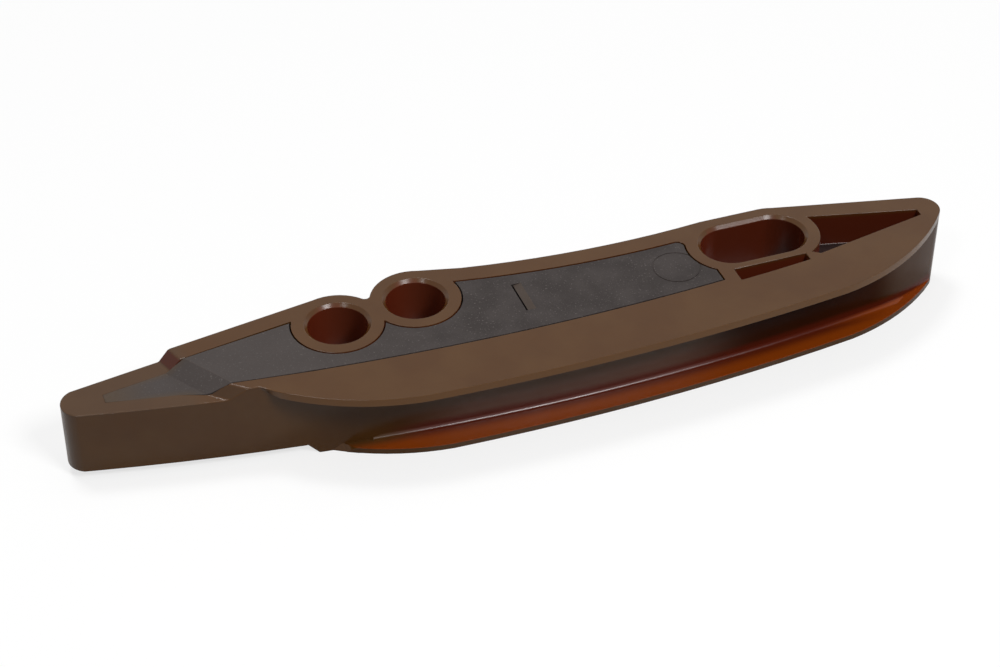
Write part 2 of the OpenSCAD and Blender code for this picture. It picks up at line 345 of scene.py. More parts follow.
@dataclass(frozen=True)
class TailPaint:
    """The brown on the tail, where the grey shows through it, and on the ramp, with painted shade and a
    painted glow.

    Attributes:
        thin: the colour of the film over the core.
        shade: the painted shade that darkens the slanting faces of the ramp, where less light falls.
        painted_ramp_glow: the colour of the painted orange glow on the back of the ramp, for light shining
            through it.
        haze: how much of the film's colour shows all over the tail.
        dark: how much the painted shade darkens the ramp.
        skin: heights over which the film sets in, from the tail's top.
        foot: heights over which the ramp sets in, from the tail's top.
        head: heights over which the ramp ends, from the top.
        slant: the rise of a normal on the ramp.
        front: X over which the painted shade ends, from the ramp's start.
        behind: X over which the painted glow on the back sets in, from the ramp's start.
        tail: the core's borders on the tail.
        rail: the rail's sizes.
    """

    thin: Colour = (0.056, 0.036, 0.022)
    shade: Colour = (0.030, 0.016, 0.008)
    painted_ramp_glow: Colour = (0.064, 0.010, 0.0012)
    haze: float = 0.35
    dark: float = 0.45
    skin: Span = Span(-0.4 * MM, -0.1 * MM)
    foot: Span = Span(0.0, 0.3 * MM)
    head: Span = Span(0.0, -0.3 * MM)
    slant: Span = Span(0.40, 0.60)
    front: Span = Span(12.0 * MM, 11.0 * MM)
    behind: Span = Span(0.0, -0.8 * MM)
    tail: Tail = Tail()
    rail: Rail = Rail()

    def lay(self, graph: Graph, where: Socket, colour: Socket) -> Socket:
        """Let the grey show through on the tail, paint shade on the ramp's slanting faces and a glow on the
        back of the ramp.
        """
        spot = graph.split(where)
        upper = graph.ease(spot["Z"], self.skin, self.rail.tail_top)
        here = graph.product(self.tail.here(graph, where), upper)
        bare = graph.sum(Sum.SUBTRACT, 1.0, self.tail.film(graph, where))
        colour = graph.colour(graph.product(here, self.haze), colour, self.thin)
        colour = graph.colour(graph.product(here, bare), colour, self.thin)
        foot = graph.ease(spot["Z"], self.foot, self.rail.tail_top)
        step = graph.product(foot, graph.ease(spot["Z"], self.head, self.rail.height))
        slant = graph.ease(graph.lean()["Z"], self.slant)
        front = graph.ease(spot["X"], self.front, self.rail.ramp)
        # painted shade on the ramp's slanting faces, where less light falls
        colour = graph.colour(graph.product(slant, step, front, self.dark), colour, self.shade)
        # painted orange glow on the back of the ramp, for light shining through the thin plastic
        behind = graph.ease(spot["X"], self.behind, self.rail.ramp)
        return graph.colour(graph.product(behind, step), colour, self.painted_ramp_glow)


@dataclass(frozen=True)
class ChannelPaint:
    """The brown in the channel between the flanges, with painted light and shade on the sliding face and a
    painted glow where it is thin.

    Attributes:
        wall: the colour of the sliding face, in the light from the table.
        dusk: the colour of the sliding face towards the nose, in the shade.
        painted_foot_glow: the colour of the painted red glow and painted reflection of the lower flange at
            the foot of the sliding face.
        glow: the colour of the painted orange glow on the thin lower flange, for light shining through it.
        dusk_share: how much of the dusk shows at most.
        above: heights over which the channel sets in, from the lower flange's inner side.
        half: heights over which the light from the table ends, from there.
        foot: heights over which the painted red glow ends, from there.
        low: heights over which the painted glow ends, from there.
        dusk_low: heights over which the dusk sets in, from there.
        tail_end: X over which the light sets in, from the lower flange's start.
        nose_end: X over which it ends, from the nose.
        painted_foot_glow_from: X over which the painted red glow sets in, from the lower flange's start.
        dusk_from: X over which the dusk sets in, from the nose.
        dusk_to: X over which it lifts again, from the nose.
        out: distances in front of the sliding face over which the painted glow sets in.
        around: X over which the painted glow reaches the wall, from the nose.
        rail: the rail's sizes.
    """

    wall: Colour = (0.128, 0.066, 0.045)
    dusk: Colour = (0.034, 0.0075, 0.0020)
    painted_foot_glow: Colour = (0.095, 0.0125, 0.0040)
    glow: Colour = (0.270, 0.048, 0.0022)
    dusk_share: float = 0.95
    above: Span = Span(-0.2 * MM, -0.03 * MM)
    half: Span = Span(5.4 * MM, 3.2 * MM)
    foot: Span = Span(0.9 * MM, 2.3 * MM, 1.0, 0.0)
    low: Span = Span(0.1 * MM, 0.7 * MM, 1.0, 0.0)
    dusk_low: Span = Span(-0.03 * MM, 0.5 * MM)
    tail_end: Span = Span(8.0 * MM, 28.0 * MM)
    nose_end: Span = Span(-6.0 * MM, -34.0 * MM)
    painted_foot_glow_from: Span = Span(9.0 * MM, 19.0 * MM)
    dusk_from: Span = Span(-43.0 * MM, -23.0 * MM)
    dusk_to: Span = Span(-2.0 * MM, 6.0 * MM, 1.0, 0.4)
    out: Span = Span(0.2 * MM, 2.8 * MM)
    around: Span = Span(-14.0 * MM, 4.0 * MM)
    rail: Rail = Rail()

    def middle(self, graph: Graph, where: Socket) -> Socket:
        """Tell how far a place lies from both ends of the channel, from 0 to 1."""
        spot = graph.split(where)
        tail = graph.ease(spot["X"], self.tail_end, self.rail.lower_tip)
        return graph.product(tail, graph.ease(spot["X"], self.nose_end, self.rail.nose))

    def late(self, graph: Graph, where: Socket) -> Socket:
        """Tell how near a place in the channel lies to the nose, from 0 to 1."""
        spot = graph.split(where)
        near = graph.ease(spot["X"], self.dusk_from, self.rail.nose)
        short = graph.ease(spot["X"], self.dusk_to, self.rail.nose)
        above = graph.ease(spot["Z"], self.dusk_low, self.rail.lower_t)
        return graph.product(near, short, above, graph.mark(Mark.CHANNEL))

    def lay(self, graph: Graph, where: Socket, colour: Socket) -> Socket:
        """Paint light and shade on the sliding face, an orange glow on the lower flange and a red glow at
        the foot of the sliding face.
        """
        spot = graph.split(where)
        inner = self.rail.lower_t
        mark = graph.product(graph.mark(Mark.CHANNEL), graph.ease(spot["Z"], self.above, inner))
        half = graph.product(graph.ease(spot["Z"], self.half, inner), self.middle(graph, where))
        colour = graph.colour(graph.product(mark, half), colour, self.wall)
        colour = graph.colour(graph.product(self.late(graph, where), self.dusk_share), colour, self.dusk)
        # painted red glow and painted reflection of the lower flange at the foot of the sliding face
        along = graph.ease(spot["X"], self.painted_foot_glow_from, self.rail.lower_tip)
        foot = graph.ease(spot["Z"], self.foot, inner)
        colour = graph.colour(graph.product(mark, foot, along), colour, self.painted_foot_glow)
        # painted orange glow on the thin lower flange, for light shining through it
        out = graph.ease(self.rail.reach(graph, where), self.out)
        out = graph.sum(Sum.MAXIMUM, out, graph.ease(spot["X"], self.around, self.rail.nose))
        low = graph.ease(spot["Z"], self.low, inner)
        return graph.colour(graph.product(mark, low, out), colour, self.glow)


@dataclass(frozen=True)
class RimPaint:
    """The brown on the rim of the upper flange, with a faint painted glow.

    Attributes:
        rim: the colour of the rim's painted glow.
        front: distances in front of the sliding face over which it sets in.
        high: heights over which it sets in, from the top.
        upright: the rise of a normal on the rim.
        rail: the rail's sizes.
    """

    rim: Colour = (0.140, 0.058, 0.013)
    front: Span = Span(0.3 * MM, 0.8 * MM)
    high: Span = Span(-1.5 * MM, -1.3 * MM)
    upright: Span = Span(0.9, 0.5)
    rail: Rail = Rail()

    def lay(self, graph: Graph, where: Socket, colour: Socket) -> Socket:
        """Paint a faint glow on the upper flange's rim."""
        # painted faint glow on the upper flange's rim, for light shining through it
        front = graph.ease(self.rail.reach(graph, where), self.front)
        high = graph.ease(graph.split(where)["Z"], self.high, self.rail.height)
        upright = graph.ease(graph.lean()["Z"], self.upright)
        return graph.colour(graph.product(front, high, upright), colour, self.rim)


@dataclass(frozen=True)
class HolePaint:
    """The brown inside the holes and pockets, with a painted red glow for light shining through their
    walls, and painted shade on their floors.

    Attributes:
        deep: the colour of the painted red glow on the walls of the slot and the pockets.
        bore: the colour of the painted red glow on the walls of the pin bores.
        lit: the colour of the brighter painted glow on a wall that faces the nose and takes more light.
        floor: the colour of the painted shade on a pocket's floor.
        depth: heights over which a wall's painted red glow ends, from the top.
        past_bores: X over which the bores' painted glow passes into the pockets'.
        facing: how far a wall's normal points to the nose.
        upright: the rise of a wall's normal.
        rear: how far the normal of a chamfer at the back points to the front, where the painted glow shows
            through the thin wall behind.
        level: the rise of a floor's normal.
        sunk: heights over which the floors set in, from the top.
        rail: the rail's sizes.
    """

    deep: Colour = (0.078, 0.0140, 0.0052)
    bore: Colour = (0.125, 0.0260, 0.0110)
    lit: Colour = (0.142, 0.0220, 0.0080)
    floor: Colour = (0.026, 0.015, 0.014)
    depth: Span = Span(-0.9 * MM, -0.05 * MM, 1.0, 0.35)
    past_bores: Span = Span(24.0 * MM, 30.0 * MM)
    facing: Span = Span(-0.5, 0.9)
    upright: Span = Span(0.3, 0.6, 1.0, 0.1)
    rear: Span = Span(-0.62, -0.66, 0.0, 0.75)
    level: Span = Span(0.90, 0.97)
    sunk: Span = Span(-1.0 * MM, -2.0 * MM)
    rail: Rail = Rail()

    def lay(self, graph: Graph, where: Socket, colour: Socket) -> Socket:
        """Paint a red glow on the walls of the holes and pockets, and paint shade on their floors."""
        spot = graph.split(where)
        lean = graph.lean()
        hole = graph.mark(Mark.CAVITY)
        # painted red glow on the walls, for light shining through the thin plastic
        red = graph.colour(graph.ease(spot["X"], self.past_bores), self.bore, self.deep)
        red = graph.colour(graph.ease(lean["X"], self.facing), red, self.lit)
        wall = graph.sum(Sum.MAXIMUM, graph.ease(lean["Z"], self.upright), graph.ease(lean["Y"], self.rear))
        depth = graph.ease(spot["Z"], self.depth, self.rail.height)
        colour = graph.colour(graph.product(hole, graph.product(depth, wall)), colour, red)
        # painted shade on the pocket floors, deep in the recess
        level = graph.ease(lean["Z"], self.level)
        sunk = graph.ease(spot["Z"], self.sunk, self.rail.height)
        return graph.colour(graph.product(level, sunk, hole), colour, self.floor)


@dataclass(frozen=True)
class Grain:
    """The fine unevenness of a moulded skin.

    Attributes:
        size: the size of its bumps.
        depth: how deep they are.
        strength: how strongly they show.
        detail: how many finer layers lie over them.
        rough: how strong those layers are.
    """

    size: float
    depth: float
    strength: float
    detail: float
    rough: float = 0.5

    def noise(self, graph: Graph, where: Socket) -> Socket:
        """Make the noise of the bumps."""
        return graph.noise(where, self.size, self.detail, self.rough)

    def lay(self, graph: Graph, where: Socket, below: Socket | None = None) -> Socket:
        """Bend the normal of a surface.

        Args:
            graph: the material's nodes.
            where: the place on the piece.
            below: the normal that another grain has bent.

        Returns:
            The bent normal.
        """
        height = self.noise(graph, where)
        bump = graph.node("Bump", Strength=self.strength, Distance=self.depth, Height=height)
        if below is not None:
            graph.put(bump.inputs["Normal"], below)
        return bump.outputs["Normal"]


@dataclass(frozen=True)
class Polyamide:
    """A moulded polyamide with lighter patches and a fine grain.

    Attributes:
        name: the material's name.
        plain: the colour of the plastic.
        pale: the colour of its lighter patches.
        patch_size: the size of those patches.
        patch_detail: how many finer layers lie over them.
        roughness: the noise over which the roughness passes.
        gloss: the strength of reflections.
        grain: the grain of the skin.
        patch: the noise over which the lighter patches set in.
        ior: the index of refraction.
    """

    name: str
    plain: Colour
    pale: Colour
    patch_size: float
    patch_detail: float
    roughness: Span
    gloss: float
    grain: Grain
    patch: Span = Span(0.35, 0.7)
    ior: float = 1.5

    def build(self) -> bpy.types.Material:
        """Make the material."""
        material = bpy.data.materials.new(self.name)
        material.use_nodes = True
        graph = Graph(material.node_tree)
        where = graph.node("TexCoord").outputs["Object"]
        shader = graph.node(
            "BsdfPrincipled",
            Base_Color=self.paint(graph, where),
            Roughness=self.rough(graph, where),
            Normal=self.skin(graph, where),
            IOR=self.ior,
            Specular_IOR_Level=self.shine(graph, where),
        )
        graph.node("OutputMaterial", Surface=shader.outputs["BSDF"])
        return material

    def paint(self, graph: Graph, where: Socket) -> Socket:
        """Colour the plastic in patches."""
        patch = graph.ease(graph.noise(where, self.patch_size, self.patch_detail), self.patch)
        return graph.colour(patch, self.plain, self.pale)

    def rough(self, graph: Graph, where: Socket) -> Socket:
        """Let the roughness follow the grain."""
        return graph.ease(self.grain.noise(graph, where), self.roughness)

    def skin(self, graph: Graph, where: Socket) -> Socket:
        """Make the grain of the moulded skin."""
        return self.grain.lay(graph, where)

    def shine(self, graph: Graph, where: Socket) -> Any:
        """Keep reflections even."""
        return self.gloss


@dataclass(frozen=True)
class BrownPolyamide(Polyamide):
    """Brown satin polyamide, with a painted orange and red glow where it is thin, for light shining through
    it, and painted light and shade.

    Attributes:
        satin_size: the size of patches of one roughness.
        polish: the strength of reflections in the channel, which the mould polishes.
        dull: the share of it that is left towards the nose.
        wave: the wider waves of the skin.
        tail: the paint on the tail: the film over the core, painted shade on the ramp and a painted glow at
            its back.
        channel: the painted light, shade and glow in the channel.
        rim: the painted glow on the upper flange's rim.
        holes: the painted glow and shade in the holes and pockets.
    """

    name: str = "brown_polyamide_satin"
    plain: Colour = (0.076, 0.029, 0.005)
    pale: Colour = (0.086, 0.036, 0.008)
    patch_size: float = 9.0 * MM
    patch_detail: float = 3.0
    roughness: Span = Span(0.3, 0.7, 0.20, 0.27)
    gloss: float = 0.245
    grain: Grain = Grain(size=0.25 * MM, depth=0.02 * MM, strength=0.12, detail=3.0, rough=0.6)
    satin_size: float = 4.0 * MM
    polish: float = 0.42
    dull: float = 0.15
    wave: Grain = Grain(size=3.0 * MM, depth=0.08 * MM, strength=0.15, detail=1.0)
    tail: TailPaint = TailPaint()
    channel: ChannelPaint = ChannelPaint()
    rim: RimPaint = RimPaint()
    holes: HolePaint = HolePaint()

    def paint(self, graph: Graph, where: Socket) -> Socket:
        """Colour the plastic, with the film on the tail and painted light, shade and glow where it is thin
        or shaded.
        """
        colour = super().paint(graph, where)
        for coat in (self.tail, self.channel, self.rim, self.holes):
            colour = coat.lay(graph, where, colour)
        return colour

    def rough(self, graph: Graph, where: Socket) -> Socket:
        """Vary the satin a little."""
        return graph.ease(graph.noise(where, self.satin_size), self.roughness)

    def skin(self, graph: Graph, where: Socket) -> Socket:
        """Make the faint grain and the waves of the skin."""
        return self.wave.lay(graph, where, super().skin(graph, where))

    def shine(self, graph: Graph, where: Socket) -> Socket:
        """Polish the middle of the channel, and dull it towards the nose."""
        track = graph.product(graph.mark(Mark.CHANNEL), self.channel.middle(graph, where))
        shine = graph.ease(track, Span(0.0, 1.0, self.gloss, self.polish))
        late = self.channel.late(graph, where)
        return graph.product(shine, graph.ease(late, Span(0.0, 1.0, 1.0, self.dull)))


@dataclass(frozen=True)
class GreyPolyamide(Polyamide):
    """Dark grey filled polyamide, matt and finely speckled.

    Attributes:
        painted_sheen: the colour of the painted sheen at its end towards the tail.
        fleck: the colour of the filler's flecks.
        film: the colour where the brown runs over it on the tail, and of the bar mark's floor.
        painted_sheen_by_x: X over which the painted sheen lightens it towards the tail.
        speckle: the noise over which the flecks set in.
        bar_tilt: how far the normal of the bar mark's floor points to the tail.
        bar_rise: the rise of that normal.
        bar_share: how much of the film's colour shows there.
        tail: the borders of the brown film on the tail.
    """

    name: str = "grey_filled_polyamide_matt"
    plain: Colour = (0.0190, 0.0135, 0.012)
    pale: Colour = (0.034, 0.0265, 0.0245)
    patch_size: float = 5.0 * MM
    patch_detail: float = 4.0
    roughness: Span = Span(0.3, 0.7, 0.5, 0.66)
    gloss: float = 0.25
    grain: Grain = Grain(size=0.35 * MM, depth=0.03 * MM, strength=0.35, detail=3.0, rough=0.65)
    painted_sheen: Colour = (0.050, 0.040, 0.0365)
    fleck: Colour = (0.105, 0.092, 0.087)
    film: Colour = (0.056, 0.036, 0.022)
    painted_sheen_by_x: Span = Span(22.0 * MM, -14.0 * MM, 0.0, 0.75)
    speckle: Span = Span(0.57, 0.74)
    bar_tilt: Span = Span(-0.08, -0.14)
    bar_rise: Span = Span(0.90, 0.95)
    bar_share: float = 0.5
    tail: Tail = Tail()

    def paint(self, graph: Graph, where: Socket) -> Socket:
        """Lighten the plastic with a painted sheen towards the tail, speckle it, and let it fade under the
        brown on the tail and on the slanting bar mark.
        """
        # painted sheen that lightens the grey towards the tail
        painted_sheen_by_x = graph.ease(graph.split(where)["X"], self.painted_sheen_by_x)
        colour = graph.colour(painted_sheen_by_x, super().paint(graph, where), self.painted_sheen)
        colour = graph.colour(graph.ease(self.grain.noise(graph, where), self.speckle), colour, self.fleck)
        film = graph.product(self.tail.film(graph, where), self.tail.here(graph, where))
        lean = graph.lean()
        slant = graph.product(graph.ease(lean["X"], self.bar_tilt), graph.ease(lean["Z"], self.bar_rise))
        film = graph.sum(Sum.MAXIMUM, film, graph.product(slant, self.bar_share))
        return graph.colour(film, colour, self.film)


@dataclass(frozen=True)
class Round:
    """The radius that a mould leaves on a corner.

    Attributes:
        width: how far the round runs onto each face.
        facets: how many facets make it.
    """

    width: float
    facets: int

    def apply(self, mesh: bmesh.types.BMesh, edges: list[bmesh.types.BMEdge]) -> None:
        """Round some edges of a closed mesh."""
        bmesh.ops.bevel(
            mesh,
            geom=edges,
            offset=self.width,
            offset_type="OFFSET",
            segments=self.facets,
            profile=0.5,
            affect="EDGES",
            clamp_overlap=False,
            material=-1,
        )
        mesh.normal_update()


class Corner(Enum):
    """Corners of the moulding, by the round that the mould leaves there."""

    EDGE = Round(0.18 * MM, 3)
    RAMP = Round(0.35 * MM, 4)
    FOOT = Round(0.20 * MM, 4)
    CRISP = Round(0.07 * MM, 2)
    COVE = Round(0.80 * MM, 7)
    LIP = Round(0.09 * MM, 2)
    SEAM = Round(0.06 * MM, 2)

    def round(self, mesh: bmesh.types.BMesh, edges: list[bmesh.types.BMEdge]) -> None:
        """Round some edges of a closed mesh by this radius."""
        self.value.apply(mesh, edges)


@dataclass
class MouldedPiece:
    """A shot of the moulding: a copy of its CAD solid with rounded corners.

    Attributes:
        node: the CAD node that the piece stands for.
        slot: the record's material slot, which is not used.
        weld: how near two corners lie that are one.
        flat: the most that two facets of one flat face may turn.
        turn: the least turn between two faces that counts as a corner.
        cusp: the angle of a face's tip that is too thin for a full round.
        even: how strongly wide faces rule the shading of their corners, up to 100.
    """

    node: str
    slot: str
    weld: float = 0.06 * MM
    flat: float = math.radians(0.4)
    turn: float = math.radians(28.0)
    cusp: float = math.radians(34.0)
    even: int = 80

    def shape(self, frame: dict[str, Any]) -> bmesh.types.BMesh:
        """Copy the CAD solid as one closed mesh of plain faces.

        Args:
            frame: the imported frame.

        Returns:
            The copy, with its corners still sharp.
        """
        mesh = bmesh.new()
        mesh.from_mesh(frame["nodes"][self.node].data)
        bmesh.ops.remove_doubles(mesh, verts=mesh.verts, dist=self.weld)
        self.plain(mesh)
        bmesh.ops.dissolve_degenerate(mesh, edges=mesh.edges, dist=self.weld / 2)
        bmesh.ops.dissolve_limit(mesh, angle_limit=self.flat, verts=mesh.verts, edges=mesh.edges)
        mesh.normal_update()
        return mesh

    def plain(self, mesh: bmesh.types.BMesh) -> None:
        """Leave the copy as it is; a piece with curved corners squares them here."""

    def corners(self, mesh: bmesh.types.BMesh) -> list[bmesh.types.BMEdge]:
        """Find the edges where two faces turn sharply, apart from the tips of thin faces."""
        sharp = {edge for edge in mesh.edges if edge.calc_face_angle(0.0) > self.turn}
        tips = set()
        for face in mesh.faces:
            for loop in face.loops:
                sides = {loop.edge, loop.link_loop_prev.edge}
                if loop.is_convex and loop.calc_angle() < self.cusp and sides <= sharp:
                    tips |= sides
        return [edge for edge in mesh.edges if edge in sharp and edge not in tips]

    def round(self, mesh: bmesh.types.BMesh) -> None:
        """Leave the corners sharp; each piece rounds its own here."""

    def build(self, frame: dict[str, Any], material: bpy.types.Material) -> bpy.types.Object:
        """Build the piece, dress it and put it in the node's place.

        Args:
            frame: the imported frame.
            material: the piece's finish.

        Returns:
            The new object.
        """
        mesh = self.shape(frame)
        self.round(mesh)
        self.mark(mesh)
        for edge in mesh.edges:
            edge.smooth = edge.calc_face_angle(0.0) < self.turn
        data = bpy.data.meshes.new(f"{self.node}_moulded")
        mesh.to_mesh(data)
        mesh.free()
        data.shade_smooth()
        data.materials.append(material)
        piece = bpy.data.objects.new(data.name, data)
        bpy.context.scene.collection.objects.link(piece)
        self.finish(piece)
        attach(piece, BODY)
        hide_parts(self.node)
        LOG.info("%s: %d faces", piece.name, len(data.polygons))
        return piece

    def finish(self, piece: bpy.types.Object) -> None:
        """Even out the shading of flat faces and rounds."""
        shade = piece.modifiers.new("even_shading", "WEIGHTED_NORMAL")
        shade.weight = self.even
        shade.keep_sharp = True

    def mark(self, mesh: bmesh.types.BMesh) -> None:
        """Mark nothing; a piece with marks for its finish adds them here."""


@dataclass
class RailBody(MouldedPiece):
    """The brown shot, with coves along its flanges and marked walls inside its holes and pockets.

    Attributes:
        rail: the rail's sizes.
        core: the core's faces.
        cove: the leg of the CAD's coves.
        cove_room: the least width of a flange with a cove.
        run_out: the length over which a cove ends.
        tip_l: the length of the lower flange's thin tip.
        slack: how far a point may lie from its face.
        flush: how far a point may lie off a level face.
        rim: how far in front of the sliding face a flange's rim lies at least.
        seam: how near the core an edge lies that stays sharp.
        across: the widest hole or pocket.
        steep: the most that a wall's normal may rise.
        slant: the least and the most that a slanting face's normal rises.
        level: the least that a level face's normal rises.
        lead_low: the lowest height of the chamfers on the holes.
        lead_from: X from which there are such chamfers.
    """

    node: str = "guide_rail_body"
    slot: str = "brown_polyamide"
    rail: Rail = Rail()
    core: BVHTree | None = None
    cove: float = 0.8 * MM
    cove_room: float = 1.1 * MM
    run_out: float = 0.8 * MM
    tip_l: float = 6.0 * MM
    slack: float = 0.06 * MM
    flush: float = 0.015 * MM
    rim: float = 0.02 * MM
    seam: float = 0.3 * MM
    across: float = 26.0 * MM
    steep: float = 0.85
    slant: tuple[float, float] = (0.5, 0.85)
    level: float = 0.95
    lead_low: float = 14.7 * MM
    lead_from: float = -12.0 * MM

    def plain(self, mesh: bmesh.types.BMesh) -> None:
        """Square the coves along the sliding face, so that they can be rounded finely again."""
        rail = self.rail
        sides = ((rail.lower_t, 1.0, rail.lower_tip), (rail.height - rail.upper_t, -1.0, rail.upper_tip))
        reach = self.cove + self.slack
        for vert in mesh.verts:
            spoke = vert.co.xy - rail.face
            out = spoke.length - rail.face_r
            for inner, up, tip in sides:
                rise = (vert.co.z - inner) * up
                along = tip < vert.co.x < rail.nose
                if along and -self.slack < out < reach and -self.flush < rise < reach:
                    foot = rail.face + spoke * (rail.face_r / spoke.length)
                    vert.co = (foot.x, foot.y, inner)
        bmesh.ops.remove_doubles(mesh, verts=mesh.verts, dist=self.weld)

    def round(self, mesh: bmesh.types.BMesh) -> None:
        """Round the ramp, every free edge, the chamfers on the holes and the coves along the flanges."""
        Corner.RAMP.round(mesh, [edge for edge in mesh.edges if self.is_ramp(edge) and edge.is_convex])
        Corner.FOOT.round(mesh, [edge for edge in mesh.edges if self.is_ramp(edge) and not edge.is_convex])
        free = [edge for edge in self.corners(mesh) if self.is_free(edge) and not self.is_lead(edge)]
        Corner.EDGE.round(mesh, [edge for edge in free if not self.is_crisp(edge)])
        free = [edge for edge in self.corners(mesh) if self.is_free(edge) and self.is_crisp(edge)]
        Corner.CRISP.round(mesh, free)
        Corner.LIP.round(mesh, [edge for edge in self.corners(mesh) if self.is_lip(edge)])
        Corner.CRISP.round(mesh, [edge for edge in self.corners(mesh) if self.is_lead(edge)])
        tree = BVHTree.FromBMesh(mesh)
        coves = [edge for edge in self.corners(mesh) if self.takes_cove(edge, tree)]
        self.end_coves(coves)
        Corner.COVE.round(mesh, coves)
        for vert in mesh.verts:
            vert.co.z = min(vert.co.z, self.rail.height)

    def end_coves(self, coves: list[bmesh.types.BMEdge]) -> None:
        """Put a corner a little past each end of the coves, so that they run out over a short length."""
        taken = set(coves)
        ends = {
            vert: other
            for edge in coves
            for vert in edge.verts
            for other in vert.link_edges
            if other not in taken and self.in_cove(other)
        }
        for vert, other in ends.items():
            length = other.calc_length()
            bmesh.utils.edge_split(other, vert, min(self.run_out, length / 2) / length)

    def is_free(self, edge: bmesh.types.BMEdge) -> bool:
        """Tell whether an edge is neither on the seam with the core, in a cove nor at a thin tip."""
        middle = (edge.verts[0].co + edge.verts[1].co) / 2
        alone = self.core.find_nearest(middle, self.seam)[0] is None
        return alone and not self.in_cove(edge) and not self.in_tip(edge)

    def in_tip(self, edge: bmesh.types.BMEdge) -> bool:
        """Tell whether an edge lies at the lower flange's tip, which is too thin for a round."""
        places = [vert.co for vert in edge.verts]
        start = self.rail.lower_tip
        along = all(start < place.x < start + self.tip_l for place in places)
        inner = max(place.z for place in places)
        return along and abs(inner - self.rail.lower_t) < self.slack

    def is_lip(self, edge: bmesh.types.BMEdge) -> bool:
        """Tell whether an edge is the top of the pocket's wall, beside the core."""
        high = all(vert.co.z > self.rail.height - self.flush for vert in edge.verts)
        return high and not self.is_free(edge) and all(vert.co.x > self.lead_from for vert in edge.verts)

    def slants(self, edge: bmesh.types.BMEdge) -> bool:
        """Tell whether an edge borders a slanting face."""
        low, high = self.slant
        return any(low < face.normal.z < high for face in edge.link_faces)

    def is_ramp(self, edge: bmesh.types.BMEdge) -> bool:
        """Tell whether an edge lies along the top or the foot of the ramp."""
        level = any(face.normal.z > self.level for face in edge.link_faces)
        place = self.slants(edge) and level and all(vert.co.x < self.lead_from for vert in edge.verts)
        return place and edge.calc_face_angle(0.0) > self.turn

    def is_crisp(self, edge: bmesh.types.BMEdge) -> bool:
        """Tell whether an edge borders the underside or runs around the nose or the front of a flange."""
        spokes = [vert.co.xy - self.rail.face for vert in edge.verts]
        nose = all(vert.co.x > self.rail.nose for vert in edge.verts)
        rim = nose or all(spoke.length > self.rail.face_r + self.rim for spoke in spokes)
        return rim or any(face.normal.z < -self.level for face in edge.link_faces)

    def is_lead(self, edge: bmesh.types.BMEdge) -> bool:
        """Tell whether an edge borders the chamfer on a hole."""
        places = [vert.co for vert in edge.verts]
        here = all(place.z > self.lead_low and place.x > self.lead_from for place in places)
        return here and self.slants(edge)

    def in_cove(self, edge: bmesh.types.BMEdge) -> bool:
        """Tell whether an edge lies in the corner of the wall and a flange."""
        sides = (self.rail.lower_t, self.rail.height - self.rail.upper_t)
        level = any(all(abs(vert.co.z - side) < self.slack for vert in edge.verts) for side in sides)
        return level and not edge.is_convex

    def takes_cove(self, edge: bmesh.types.BMEdge, tree: BVHTree) -> bool:
        """Tell whether the flange at a corner is wide enough for a cove."""
        if not self.in_cove(edge):
            return False
        return all(self.flange_width(edge, vert.co, tree) > self.cove_room for vert in edge.verts)

    def flange_width(self, edge: bmesh.types.BMEdge, middle: Vector, tree: BVHTree) -> float:
        """Measure how far a flange reaches past its corner with the wall."""
        wall = min(edge.link_faces, key=lambda face: abs(face.normal.z)).normal
        side = self.rail.upper_t / 2 if middle.z > self.rail.height / 2 else -self.rail.lower_t / 2
        start = Vector((middle.x, middle.y, middle.z + side)) - wall * self.slack
        hit = tree.ray_cast(start, wall)
        return hit[3] - self.slack if hit[0] is not None else 0.0

    def mark(self, mesh: bmesh.types.BMesh) -> None:
        """Mark the insides of holes and pockets, and the channel between the flanges."""
        tree = BVHTree.FromBMesh(mesh)
        cavity = mesh.faces.layers.float.new(Mark.CAVITY.value)
        channel = mesh.faces.layers.float.new(Mark.CHANNEL.value)
        for face in mesh.faces:
            level = Vector((face.normal.x, face.normal.y, 0.0))
            ways = AROUND if face.normal.z > self.steep else (level.normalized(),)
            face[cavity] = min(self.faced(tree, face, way, self.across) for way in ways)
            if face.normal.z > -self.steep:
                face[channel] = self.faced(tree, face, UP, self.rail.height)

    def faced(self, tree: BVHTree, face: bmesh.types.BMFace, way: Vector, most: float) -> float:
        """Tell whether most corners of a face have another wall in front of them, as 1 or 0.

        Args:
            tree: the body's faces.
            face: the face.
            way: the direction in which the other wall is looked for.
            most: how far away it may be.

        Returns:
            1 where a wall faces most of the corners, and otherwise 0.
        """
        lift = face.normal * self.slack
        starts = [loop.vert.co + lift + loop.calc_tangent() * self.slack for loop in face.loops]
        hits = sum(self.meets(tree, start, way, most) for start in starts)
        return 1.0 if hits > len(starts) / 2 else 0.0

    def meets(self, tree: BVHTree, start: Vector, way: Vector, most: float) -> float:
        """Tell whether another wall faces a point, as 1 or 0."""
        normal = tree.ray_cast(start, way, most)[1]
        return 1.0 if normal is not None and normal.dot(way) < 0.0 else 0.0


